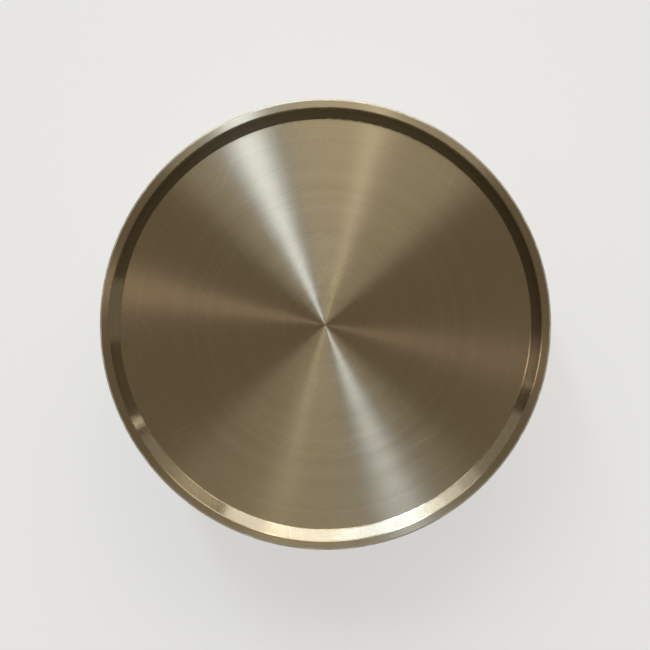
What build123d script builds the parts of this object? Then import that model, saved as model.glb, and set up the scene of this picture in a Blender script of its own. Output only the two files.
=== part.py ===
from build123d import *

import os
from math import radians, tan

# A round sputtering target, turned from one bar of titanium.
# The target stands on its front face, with its recessed back uppermost. The origin is
# the centre of the front face, and +Z is the turning axis, pointing out of the back.

os.makedirs("parts", exist_ok=True)

# Overall sizes, in millimetres
body_diameter = 100.0
total_height = 40.0

# The raised front, which passes through the clamp ring and is worn away in use
boss_height = 10.0
front_chamfer = 1.5

# The step round it that the clamp ring presses on, and the root that the tool's nose leaves
step_width = 5.0
step_root_radius = 1.0

# The shallow dish in the back, which takes the cooling plate, and the flat rim round it
rim_width = 2.0
recess_depth = 2.2
recess_wall_angle = 45.0
recess_corner_radius = 0.4

# Small breaks that take the burr off the sharp corners
body_edge_break = 0.4
mouth_edge_break = 0.15

# Places worked out from the sizes above
body_radius = body_diameter / 2
boss_radius = body_radius - step_width
mouth_radius = body_radius - rim_width
recess_floor_height = total_height - recess_depth
recess_floor_radius = mouth_radius - recess_depth * tan(radians(recess_wall_angle))

# The corners of the half section, each as radius and height, before they are broken
front_corner = (boss_radius, 0)
step_root = (boss_radius, boss_height)
step_corner = (body_radius, boss_height)
back_corner = (body_radius, total_height)
recess_mouth = (mouth_radius, total_height)
recess_corner = (recess_floor_radius, recess_floor_height)


def corner_at(sketch, place):
    """Give the one corner of a half section that lies at this radius and height."""
    return sketch.vertices().sort_by_distance(Vector(*place))[0]


with BuildPart() as target_disc:
    # Half of the section through the axis, drawn from the front face round to the recess
    with BuildSketch(Plane.XZ) as half_section:
        with BuildLine():
            Polyline(
                (0, 0),
                front_corner,
                step_root,
                step_corner,
                back_corner,
                recess_mouth,
                recess_corner,
                (0, recess_floor_height),
                close=True,
            )
        make_face()
        chamfer(corner_at(half_section, front_corner), front_chamfer)
        fillet(corner_at(half_section, step_root), step_root_radius)
        chamfer(corner_at(half_section, step_corner), body_edge_break)
        chamfer(corner_at(half_section, back_corner), body_edge_break)
        chamfer(corner_at(half_section, recess_mouth), mouth_edge_break)
        fillet(corner_at(half_section, recess_corner), recess_corner_radius)
    # The lathe makes the whole form in one turn about the axis
    revolve(axis=Axis.Z)

target_disc.part.label = "target_disc"
export_step(target_disc.part, "parts/target_disc.step")
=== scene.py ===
# %% [markdown]
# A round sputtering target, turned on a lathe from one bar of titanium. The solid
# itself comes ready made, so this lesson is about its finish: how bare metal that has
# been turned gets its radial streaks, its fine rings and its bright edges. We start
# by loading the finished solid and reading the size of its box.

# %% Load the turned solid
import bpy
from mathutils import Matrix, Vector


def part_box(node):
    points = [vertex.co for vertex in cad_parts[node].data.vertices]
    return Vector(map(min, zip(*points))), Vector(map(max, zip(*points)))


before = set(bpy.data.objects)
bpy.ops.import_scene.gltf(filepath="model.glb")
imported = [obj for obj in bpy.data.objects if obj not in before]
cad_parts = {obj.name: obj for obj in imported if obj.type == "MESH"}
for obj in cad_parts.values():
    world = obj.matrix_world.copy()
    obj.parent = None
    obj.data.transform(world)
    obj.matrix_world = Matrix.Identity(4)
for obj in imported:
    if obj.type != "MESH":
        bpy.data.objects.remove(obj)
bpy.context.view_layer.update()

from math import cos, pi, radians, sin

import bpy
from mathutils import Matrix, Vector

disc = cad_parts["target_disc"]
low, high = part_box("target_disc")
disc_radius = (high[0] - low[0]) / 2
disc_height = high[2] - low[2]
print("disc radius", round(disc_radius, 4), "height", round(disc_height, 4))

# %% [markdown]
# The target was seen square on, from close by, with its back towards the eye. A disc
# on its rim would roll, so here it stands on its front face and the camera looks down
# on it from the same distance. Distance sets the perspective: it fixes how much of
# the sloping wall shows. The lens only sets how large the disc is in the picture, so
# it is chosen last, to leave a margin of floor all round.

# %% Place the camera
frame_width_px = 650
disc_radius_px = 226
eye_distance = 0.297
eye_offset = Vector((0.0037, 0.0050, 0))
sensor_width = 36.0
nearest_seen = 0.01

camera_data = bpy.data.cameras.new("camera")
camera = bpy.data.objects.new("camera", camera_data)
bpy.context.scene.collection.objects.link(camera)
rim_centre = Vector((0, 0, disc_height))
camera.location = rim_centre + eye_offset + Vector((0, 0, eye_distance))
towards_eye = (camera.location - rim_centre).normalized()
picture_right = Vector((0, 1, 0)).cross(towards_eye).normalized()
picture_up = towards_eye.cross(picture_right)
turn = Matrix((picture_right, picture_up, towards_eye)).transposed()
camera.rotation_euler = turn.to_euler()
camera_data.sensor_width = sensor_width
camera_data.lens = sensor_width * eye_distance * disc_radius_px / (disc_radius * frame_width_px)
camera_data.clip_start = nearest_seen
bpy.context.scene.camera = camera
bpy.context.scene.view_settings.view_transform = "Standard"
print("lens", round(camera_data.lens, 1), "mm")

# %% [markdown]
# Shader trees are built in code here, so small helpers save many lines. The first adds
# one node, sets its inputs by name or number, and takes another node's socket as a
# value. The others are short ways to do sums with it.

# %% Helpers that add nodes
def add_node(tree, kind, inputs=None, **settings):
    """Add a node of a kind, set what is given, and link any input that is a socket."""
    node = tree.nodes.new(kind)
    for name, value in settings.items():
        setattr(node, name, value)
    for name, value in (inputs or {}).items():
        if isinstance(value, bpy.types.NodeSocket):
            tree.links.new(value, node.inputs[name])
        else:
            node.inputs[name].default_value = value
    return node


def calculate(tree, operation, first, second=0.0, third=0.0):
    """Add a Math node and give its result."""
    inputs = {0: first, 1: second, 2: third}
    return add_node(tree, "ShaderNodeMath", inputs, operation=operation).outputs[0]


def combine(tree, operation, first, second=(0, 0, 0)):
    """Add a Vector Math node and give its vector."""
    inputs = {0: first, 1: second}
    return add_node(tree, "ShaderNodeVectorMath", inputs, operation=operation).outputs[0]


def remap(tree, value, from_low, from_high, to_low=0.0, to_high=1.0):
    """Stretch a value from one range to another, held at both ends."""
    inputs = {"Value": value, "From Min": from_low, "From Max": from_high}
    inputs.update({"To Min": to_low, "To Max": to_high})
    return add_node(tree, "ShaderNodeMapRange", inputs).outputs["Result"]


def blend(tree, share, first_colour, second_colour):
    """Mix two colours and give the result."""
    inputs = {"Factor": share, 6: first_colour, 7: second_colour}
    return add_node(tree, "ShaderNodeMix", inputs, data_type="RGBA").outputs[2]


print("node helpers are ready")

# %% [markdown]
# The floor is plain and pale. A metal disc shows whatever is round it, so the floor is
# one wide sheet with nothing on it. Part of its white is its own light, seen by the eye
# and by the metal alike, so that the shadow under the disc stays soft and light.

# %% Make the floor
floor_radius = 12.0
floor_sides = 96
floor_colour = (0.84, 0.85, 0.87, 1)
floor_glow = 0.58

bpy.ops.object.select_all(action="DESELECT")
bpy.ops.mesh.primitive_circle_add(
    vertices=floor_sides, radius=floor_radius, fill_type="NGON",
)
floor = bpy.context.object
floor.name = "floor"
floor_material = bpy.data.materials.new("floor_pale")
floor_material.use_nodes = True
tree = floor_material.node_tree
tree.nodes.clear()
matt = add_node(tree, "ShaderNodeBsdfDiffuse", {"Color": floor_colour})
glow = add_node(tree, "ShaderNodeEmission", {"Color": (1, 1, 1, 1), "Strength": 1.0})
path = add_node(tree, "ShaderNodeLightPath")
seen = calculate(tree, "MAXIMUM", path.outputs["Is Camera Ray"], path.outputs["Is Glossy Ray"])
seen = calculate(tree, "MAXIMUM", seen, path.outputs["Is Transmission Ray"])
share = calculate(tree, "MULTIPLY", seen, floor_glow)
layers = {0: share, 1: matt.outputs[0], 2: glow.outputs[0]}
mixed = add_node(tree, "ShaderNodeMixShader", layers)
add_node(tree, "ShaderNodeOutputMaterial", {"Surface": mixed.outputs[0]})
floor.data.materials.append(floor_material)
print("floor", round(floor_radius * 2), "m across")

# %% [markdown]
# Turned metal looks as good as the light round it, so the lamps matter as much as the
# shader. Each one is a flat panel on a wide ring round the disc. Its width and height
# are shares of its distance, which makes them angles as the disc sees them, and its
# strength is how bright the panel looks, so its size can change without a new sum.

# %% A helper that hangs a lamp
lamp_target = Vector((0, 0, disc_height))
lamp_distance = 3.4


def add_lamp(name, azimuth, elevation, wide, tall, radiance, colour):
    """Hang a flat lamp that faces the disc. Wide and tall are shares of its distance."""
    data = bpy.data.lights.new(name, "AREA")
    data.shape = "RECTANGLE"
    data.size = wide * lamp_distance
    data.size_y = tall * lamp_distance
    data.energy = radiance * pi * data.size * data.size_y
    data.color = colour
    lamp = bpy.data.objects.new(name, data)
    bpy.context.scene.collection.objects.link(lamp)
    across = lamp_distance * cos(radians(elevation))
    lamp.location = lamp_target + Vector((
        across * cos(radians(azimuth)),
        across * sin(radians(azimuth)),
        lamp_distance * sin(radians(elevation)),
    ))
    lamp.rotation_euler = (lamp_target - lamp.location).to_track_quat("-Z", "Y").to_euler()
    print(name, "at", azimuth, "degrees gives", round(data.energy, 1), "watts")


print("lamps hang", lamp_distance, "m from the disc")

# %% [markdown]
# On a turned face, each lamp shows as a streak through the centre, in line with the
# lamp. So a lamp's compass direction is the direction of its streak, and its width is
# the streak's width. One narrow cold lamp makes the white streak. Wide warm ones beside
# it make the pale zone, and thin or weak ones make the fainter streaks.

# %% Hang the lamps that make the streaks
daylight = (0.75, 0.88, 1.0)
cream = (1.0, 0.92, 0.70)
rosy = (1.0, 0.76, 0.58)
add_lamp("main_streak", 114.5, 45, 0.110, 0.55, 14.5, daylight)
add_lamp("main_streak_shoulder", 130, 46, 0.16, 0.30, 2.5, cream)
add_lamp("pale_zone_near", 88, 48, 0.34, 0.46, 3.1, cream)
add_lamp("pale_zone_far", 59, 46, 0.37, 0.46, 2.0, cream)
add_lamp("thin_streak", 76.5, 40, 0.018, 0.40, 16.5, cream)
add_lamp("faint_streak", 171, 46, 0.12, 0.40, 2.3, rosy)

# %% [markdown]
# The recess has a sloping wall. Half a right angle of slope turns the eye's straight
# down into a look level with the floor, and away across the disc. So the wall shows the
# low lamps that stand opposite, and little above. A row of low panels behind the top of
# the picture lights the bottom of the wall. Each fills a stretch of the compass, and is
# as bright as the wall is opposite. Where the tall lamp stands, it needs little help.
# Weak panels soften the ends of the row, and small ones make short glints.

# %% Hang the low lamps that the wall shows
bright_white = (0.97, 1.0, 0.98)
cold_white = (0.79, 0.89, 1.0)
wall_lamp_elevation = 7
wall_lamp_height = 0.20
wall_glow = (
    (62, 78, 3.4, bright_white),
    (78, 94, 4.9, bright_white),
    (94, 110, 6.8, cold_white),
    (110, 118, 2.3, cold_white),
    (118, 125, 4.4, bright_white),
    (125, 131, 2.6, bright_white),
    (131, 137, 1.3, bright_white),
)
for start, end, radiance, colour in wall_glow:
    middle = (start + end) / 2
    name = f"wall_glow_{start}"
    wide = radians(end - start)
    add_lamp(name, middle, wall_lamp_elevation, wide, wall_lamp_height, radiance, colour)

wall_helpers = (
    ("wall_soft_left", 45, 0.50, wall_lamp_height, 0.7),
    ("wall_soft_right", 147, 0.35, wall_lamp_height, 0.7),
    ("wall_soft_side", 355, 0.30, wall_lamp_height, 0.4),
    ("wall_glint_left", 27, 0.030, wall_lamp_height / 2, 7.0),
    ("wall_glint_right", 165, 0.030, wall_lamp_height / 2, 1.6),
)
for name, azimuth, wide, tall, radiance in wall_helpers:
    add_lamp(name, azimuth, wall_lamp_elevation, wide, tall, radiance, cream)

# %% [markdown]
# What no lamp reaches shows the room. One even grey would flatten the metal, so the
# room is dim and warm, and darker the lower one looks, most of all behind the picture's
# lower side. One slanted direction sets the change, so the metal shows no seam in it.

# %% Dim the room
room_low = (0.022, 0.016, 0.008, 1)
room_high = (0.216, 0.172, 0.114, 1)
lightest_direction = Vector((0.10, 0.25, 0.96)).normalized()
darkest_lean = 0.12
lightest_lean = 0.82

room = bpy.data.worlds.new("dim_room")
room.use_nodes = True
bpy.context.scene.world = room
tree = room.node_tree
tree.nodes.clear()
looking = add_node(tree, "ShaderNodeTexCoord").outputs["Generated"]
inputs = {0: looking, 1: lightest_direction}
lean = add_node(tree, "ShaderNodeVectorMath", inputs, operation="DOT_PRODUCT").outputs["Value"]
share = remap(tree, lean, darkest_lean, lightest_lean)
shade = blend(tree, share, room_low, room_high)
backdrop = add_node(tree, "ShaderNodeBackground", {"Color": shade, "Strength": 1.0})
add_node(tree, "ShaderNodeOutputWorld", {"Surface": backdrop.outputs[0]})
print("the room dims from", room_high[0], "to", room_low[0])

# %% [markdown]
# The finish is made in groups: each is one effect with a name, so the metal itself
# stays short to read. This helper starts a group. The effects are measured in
# millimetres on the disc itself, so they stay put when the disc is moved.

# %% A helper that starts a group
metres_to_mm = 1000.0
radius_mm = disc_radius * metres_to_mm
height_mm = disc_height * metres_to_mm


def new_group(name, inputs, output, output_kind="NodeSocketFloat"):
    """Start a node group with number inputs and one output."""
    group = bpy.data.node_groups.new(name, "ShaderNodeTree")
    for label, value in inputs.items():
        socket = group.interface.new_socket(label, in_out="INPUT", socket_type="NodeSocketFloat")
        socket.default_value = value
    group.interface.new_socket(output, in_out="OUTPUT", socket_type=output_kind)
    return group, group.nodes.new("NodeGroupInput"), group.nodes.new("NodeGroupOutput")


def place_in_mm(tree):
    """Give the place on the disc, in millimetres."""
    place = add_node(tree, "ShaderNodeTexCoord").outputs["Object"]
    inputs = {0: place, "Scale": metres_to_mm}
    return add_node(tree, "ShaderNodeVectorMath", inputs, operation="SCALE").outputs[0]


def radius_and_height(tree, place):
    """Give how far a place is from the turning axis, and how high it is."""
    axes = add_node(tree, "ShaderNodeSeparateXYZ", {0: place}).outputs
    squared = calculate(tree, "MULTIPLY", axes["X"], axes["X"])
    squared = calculate(tree, "MULTIPLY_ADD", axes["Y"], axes["Y"], squared)
    return calculate(tree, "SQRT", squared), axes["Z"]


print("the disc is", round(radius_mm), "mm in radius and", round(height_mm), "mm high")

# %% [markdown]
# A turned surface faces away from its axis, along it, or between the two, and never to
# one side. The solid is shown by flat facets, whose blended directions stray sideways
# at the small rounded corners. The part of a direction that points sideways can be
# found by projecting it on the line round the axis. Taking it out makes every ring round.

# %% Group: straighten the facets' directions
round_normal, _, result = new_group("round_normal", {}, "Normal", "NodeSocketVector")
coordinates = add_node(round_normal, "ShaderNodeTexCoord").outputs
outwards = combine(round_normal, "MULTIPLY", coordinates["Object"], (1, 1, 0))
sideways = combine(round_normal, "CROSS_PRODUCT", (0, 0, 1), outwards)
stray = combine(round_normal, "PROJECT", coordinates["Normal"], sideways)
straight = combine(round_normal, "SUBTRACT", coordinates["Normal"], stray)
straight = add_node(
    round_normal, "ShaderNodeVectorTransform", {0: straight},
    vector_type="NORMAL", convert_from="OBJECT", convert_to="WORLD",
).outputs[0]
straight = combine(round_normal, "NORMALIZE", straight)
round_normal.links.new(straight, result.inputs["Normal"])
print("group", round_normal.name, "has", len(round_normal.nodes), "nodes")

# %% [markdown]
# The lathe tool moves a little with each turn, so it leaves rings. Flat faces have them
# by radius and the side has them by height. Radius and height added together change
# along every part of the outline, so one number lays rings on all of it. Real rings are
# uneven: fine ones from the feed, which come and go, and wider ones where the tool
# pressed harder. A one-way noise gives both, at two pitches.

# %% Group: turning rings
patches_per_mm = 0.05
patch_low = 0.35
patch_high = 0.65
least_fine = 0.25
most_fine = 0.55

rings, given, result = new_group("turning_rings", {"Fine Pitch": 0.35, "Wide Pitch": 2.6}, "Ring")
place = place_in_mm(rings)
from_axis, above_floor = radius_and_height(rings, place)
along = calculate(rings, "ADD", from_axis, above_floor)


def one_way_noise(pitch, detail):
    """Lay noise along the outline at a pitch in millimetres."""
    turns = calculate(rings, "DIVIDE", along, pitch)
    inputs = {"W": turns, "Scale": 1.0, "Detail": detail}
    return add_node(rings, "ShaderNodeTexNoise", inputs, noise_dimensions="1D").outputs[0]


fine = one_way_noise(given.outputs["Fine Pitch"], 1.0)
wide = one_way_noise(given.outputs["Wide Pitch"], 3.0)
inputs = {"Vector": place, "Scale": patches_per_mm, "Detail": 1.0}
comes_and_goes = add_node(rings, "ShaderNodeTexNoise", inputs).outputs[0]
fine_share = remap(rings, comes_and_goes, patch_low, patch_high, least_fine, most_fine)
ring = calculate(rings, "SUBTRACT", fine, wide)
ring = calculate(rings, "MULTIPLY_ADD", ring, fine_share, wide)
rings.links.new(ring, result.inputs["Ring"])
print("group", rings.name, "has", len(rings.nodes), "nodes")

# %% [markdown]
# Bare metal that has been handled has fine hairlines, laid at random over the rings.
# They need a flat sheet to lie on. On level surfaces the sheet is the plan view, and on
# the side it is the side unrolled, measured up and round. Noise stretched a long way in
# one direction, with only its peaks kept, gives the hairlines, and a second noise keeps
# them in patches.

# %% Group: handling scratches
hair_length = 16.0
hair_width = 0.30
hair_starts = 0.74
hair_full = 0.80
patch_starts = 0.45
patch_full = 0.60
level_limit = 0.9

scratches, given, result = new_group("handling_scratches", {"Slant": 0.6, "Spread": 0.03}, "Mask")
place = place_in_mm(scratches)
plan = add_node(scratches, "ShaderNodeSeparateXYZ", {0: place}).outputs
turn_angle = calculate(scratches, "ARCTAN2", plan["Y"], plan["X"])
round_side = calculate(scratches, "MULTIPLY", turn_angle, radius_mm)
unrolled = add_node(scratches, "ShaderNodeCombineXYZ", {"X": plan["Z"], "Y": round_side})
facing = add_node(scratches, "ShaderNodeTexCoord").outputs["Normal"]
upward = add_node(scratches, "ShaderNodeSeparateXYZ", {0: facing}).outputs["Z"]
upward = calculate(scratches, "ABSOLUTE", upward)
is_level = calculate(scratches, "GREATER_THAN", upward, level_limit)
sheets = {"Factor": is_level, 4: unrolled.outputs[0], 5: place}
sheet = add_node(scratches, "ShaderNodeMix", sheets, data_type="VECTOR").outputs[1]

slant = add_node(scratches, "ShaderNodeCombineXYZ", {"Z": given.outputs["Slant"]}).outputs[0]
hair_size = (hair_length, hair_width, 1.0)
inputs = {"Vector": sheet, "Rotation": slant, "Scale": hair_size}
stretched = add_node(scratches, "ShaderNodeMapping", inputs, vector_type="TEXTURE").outputs[0]
inputs = {"Vector": stretched, "Scale": 1.0, "Detail": 0.0}
hair = add_node(scratches, "ShaderNodeTexNoise", inputs, noise_dimensions="2D").outputs[0]
inputs = {"Vector": sheet, "Scale": given.outputs["Spread"], "Detail": 0.0}
patch = add_node(scratches, "ShaderNodeTexNoise", inputs, noise_dimensions="2D").outputs[0]
peaks = remap(scratches, hair, hair_starts, hair_full)
in_patch = remap(scratches, patch, patch_starts, patch_full)
mask = calculate(scratches, "MULTIPLY", peaks, in_patch)
scratches.links.new(mask, result.inputs["Mask"])
print("group", scratches.name, "has", len(scratches.nodes), "nodes")

# %% [markdown]
# Corners of a metal part rub bright where it is set down and slid. Two of them stand out
# the furthest, at the back and at the step. Each is a ring, so a distance in radius
# and height finds it. Noise changes the reach, so the wear comes in patches. The front
# edge is chamfered, and nothing touches the corners inside the recess, so these have no
# wear. The lighter colour that this mask gives is partly that wear and partly a painted
# highlight along these edges.

# %% Group: a worn corner, lighter partly as a painted highlight
nicks_per_mm = 0.35
nick_low = 0.35
nick_high = 0.70
least_reach = 0.02
fully_worn = 0.6

corner_inputs = {"Radius": radius_mm, "Height": height_mm, "Reach": 0.6}
worn_and_highlight_corner, given, result = new_group("worn_and_highlight_corner", corner_inputs, "Mask")
place = place_in_mm(worn_and_highlight_corner)
from_axis, above_floor = radius_and_height(worn_and_highlight_corner, place)
sideways = calculate(worn_and_highlight_corner, "SUBTRACT", from_axis, given.outputs["Radius"])
upwards = calculate(worn_and_highlight_corner, "SUBTRACT", above_floor, given.outputs["Height"])
gap = calculate(worn_and_highlight_corner, "MULTIPLY", sideways, sideways)
gap = calculate(worn_and_highlight_corner, "SQRT", calculate(worn_and_highlight_corner, "MULTIPLY_ADD", upwards, upwards, gap))
inputs = {"Vector": place, "Scale": nicks_per_mm, "Detail": 3.0}
patchy = add_node(worn_and_highlight_corner, "ShaderNodeTexNoise", inputs).outputs[0]
patchy = remap(worn_and_highlight_corner, patchy, nick_low, nick_high, least_reach, 1.0)
reach = calculate(worn_and_highlight_corner, "MULTIPLY", given.outputs["Reach"], patchy)
how_far = calculate(worn_and_highlight_corner, "DIVIDE", gap, reach)
mask = remap(worn_and_highlight_corner, how_far, fully_worn, 1.0, 1.0, 0.0)
worn_and_highlight_corner.links.new(mask, result.inputs["Mask"])
print("group", worn_and_highlight_corner.name, "has", len(worn_and_highlight_corner.nodes), "nodes")

# %% [markdown]
# Now the metal. The lathe's grooves scatter light across themselves and hardly at all
# along themselves. A shader says this with anisotropy. Its tangent runs round the
# turning axis, so one setting serves the faces, the walls and the slopes, and a quarter
# turn puts the scatter across the grooves. Without it the streaks would be round spots.

# %% Start the turned metal and place its effects
quarter_turn = 0.25

metal = bpy.data.materials.new("turned_titanium")
metal.use_nodes = True
tree = metal.node_tree
shader = tree.nodes["Principled BSDF"]
shader.inputs["Metallic"].default_value = 1.0
shader.inputs["Anisotropic"].default_value = 1.0
shader.inputs["Anisotropic Rotation"].default_value = quarter_turn
tangent = add_node(tree, "ShaderNodeTangent", direction_type="RADIAL", axis="Z")
tree.links.new(tangent.outputs["Tangent"], shader.inputs["Tangent"])

true_round = add_node(tree, "ShaderNodeGroup", node_tree=round_normal).outputs["Normal"]
ring = add_node(tree, "ShaderNodeGroup", node_tree=rings).outputs["Ring"]
hair_layers = ((0.5, 0.03), (2.2, 0.045), (1.2, 0.06))
scratch = 0.0
for slant_angle, patch_scale in hair_layers:
    layer = add_node(tree, "ShaderNodeGroup", node_tree=scratches)
    layer.inputs["Slant"].default_value = slant_angle
    layer.inputs["Spread"].default_value = patch_scale
    scratch = calculate(tree, "MAXIMUM", scratch, layer.outputs["Mask"])

step_height_mm = 10.0
back_corner = (radius_mm, height_mm)
step_corner = (radius_mm, step_height_mm)
# The corner masks lighten the colour below, partly as wear and partly as a painted highlight.
worn_and_highlight = 0.0
for corner_radius, corner_height in (back_corner, step_corner):
    corner = add_node(tree, "ShaderNodeGroup", node_tree=worn_and_highlight_corner)
    corner.inputs["Radius"].default_value = corner_radius
    corner.inputs["Height"].default_value = corner_height
    worn_and_highlight = calculate(tree, "MAXIMUM", worn_and_highlight, corner.outputs["Mask"])
print("the metal uses", len(tree.nodes), "nodes so far")

# %% [markdown]
# Titanium is a warm grey, darker than steel. Its colour hardly changes over a part, so
# two near shades are enough: the rings mix them finely and a large soft noise, like the
# marks of gloves and cleaning, mixes them broadly. Where a corner is worn or a scratch
# bares fresh metal, it is a little lighter: partly that wear, and partly a painted
# highlight standing in for the glint of edges and scratches. A noise lies mostly between
# 0.3 and 0.7, so that range is stretched to the full one.

# %% Colour the metal
titanium_dark = (0.480, 0.425, 0.330, 1)
titanium_light = (0.565, 0.510, 0.415, 1)
# Lighter metal for worn corners and scratches, partly a painted highlight.
titanium_worn_and_highlight = (0.680, 0.640, 0.550, 1)
noise_low = 0.3
noise_high = 0.7
rings_in_tone = 0.6
smudges_in_tone = 0.4
scratch_bares_and_highlights = 0.5
bare_and_highlight_in_colour = 0.6
smudges_per_m = 22.0

place = add_node(tree, "ShaderNodeTexCoord").outputs["Object"]
inputs = {"Vector": place, "Scale": smudges_per_m, "Detail": 4.0, "Roughness": 0.6}
smudge = add_node(tree, "ShaderNodeTexNoise", inputs).outputs[0]
ring_share = remap(tree, ring, noise_low, noise_high, 0.0, rings_in_tone)
smudge_share = remap(tree, smudge, noise_low, noise_high, 0.0, smudges_in_tone)
tone = calculate(tree, "ADD", ring_share, smudge_share)
colour = blend(tree, tone, titanium_dark, titanium_light)
# Painted highlight, partly real wear: worn corners and scratches lighten the colour.
bared_and_highlight = calculate(tree, "MAXIMUM", worn_and_highlight, calculate(tree, "MULTIPLY", scratch, scratch_bares_and_highlights))
bared_and_highlight = calculate(tree, "MULTIPLY", bared_and_highlight, bare_and_highlight_in_colour)
colour = blend(tree, bared_and_highlight, colour, titanium_worn_and_highlight)
tree.links.new(colour, shader.inputs["Base Color"])
print("colour runs from", titanium_dark[0], "to", titanium_light[0])

# %% [markdown]
# The slopes were cut with a finer feed, so they are smoother, and show dark and bright
# more sharply than the faces. A surface that leans halfway has an upward part whose
# square is one half. The formula below is one there, and nought on level and upright
# surfaces, with a smooth change over the rounded corners. Smudges, rings and scratches
# add a little roughness, and wear takes some away. The scratches fade out on slopes.
# Apart from the worn edges, faces stay above 0.275 and slopes below it, because the
# clearing of noise changes its way there. A face that crossed it back and forth would
# show dotted dark lines.

# %% Set how rough the metal is
face_roughness = 0.28
slope_roughness = 0.21
smudges_add = 0.015
rings_add = 0.03
scratches_add = 0.04
wear_adds = -0.04

facing = add_node(tree, "ShaderNodeTexCoord").outputs["Normal"]
upward = add_node(tree, "ShaderNodeSeparateXYZ", {0: facing}).outputs["Z"]
squared = calculate(tree, "MULTIPLY", upward, upward)
slope = calculate(tree, "MULTIPLY", squared, calculate(tree, "SUBTRACT", 1.0, squared))
slope = calculate(tree, "MULTIPLY", slope, 4.0)
scratch = calculate(tree, "MULTIPLY", scratch, calculate(tree, "SUBTRACT", 1.0, slope))
roughness = remap(tree, slope, 0.0, 1.0, face_roughness, slope_roughness)
more = remap(tree, smudge, noise_low, noise_high, 0.0, smudges_add)
roughness = calculate(tree, "ADD", roughness, more)
more = remap(tree, ring, noise_low, noise_high, 0.0, rings_add)
roughness = calculate(tree, "ADD", roughness, more)
roughness = calculate(tree, "MULTIPLY_ADD", scratch, scratches_add, roughness)
roughness = calculate(tree, "MULTIPLY_ADD", worn_and_highlight, wear_adds, roughness)
tree.links.new(roughness, shader.inputs["Roughness"])
print("roughness is about", face_roughness, "on faces and", slope_roughness, "on slopes")

# %% [markdown]
# Rings and scratches have depth as well as colour. A bump is enough, because they are
# far thinner than anything the outline could show. Scratches are much shallower than
# the rings that they cross. The bump starts from the straightened directions, so that
# it agrees with the form.

# %% Cut the rings and scratches, and put the metal on
groove_depth = 0.000016
scratch_height = -0.06

height = calculate(tree, "MULTIPLY_ADD", scratch, scratch_height, ring)
inputs = {"Height": height, "Distance": groove_depth, "Strength": 1.0, "Normal": true_round}
bump = add_node(tree, "ShaderNodeBump", inputs)
tree.links.new(bump.outputs["Normal"], shader.inputs["Normal"])
for slot in disc.material_slots:
    slot.material = metal
print("turned metal is on", disc.name, "with", len(tree.nodes), "nodes")

# %% [markdown]
# Last, the solid's box, read at the start, and the box of everything that shows now
# should be the same, because the finish adds no form.

# %% Finish
print("finished")
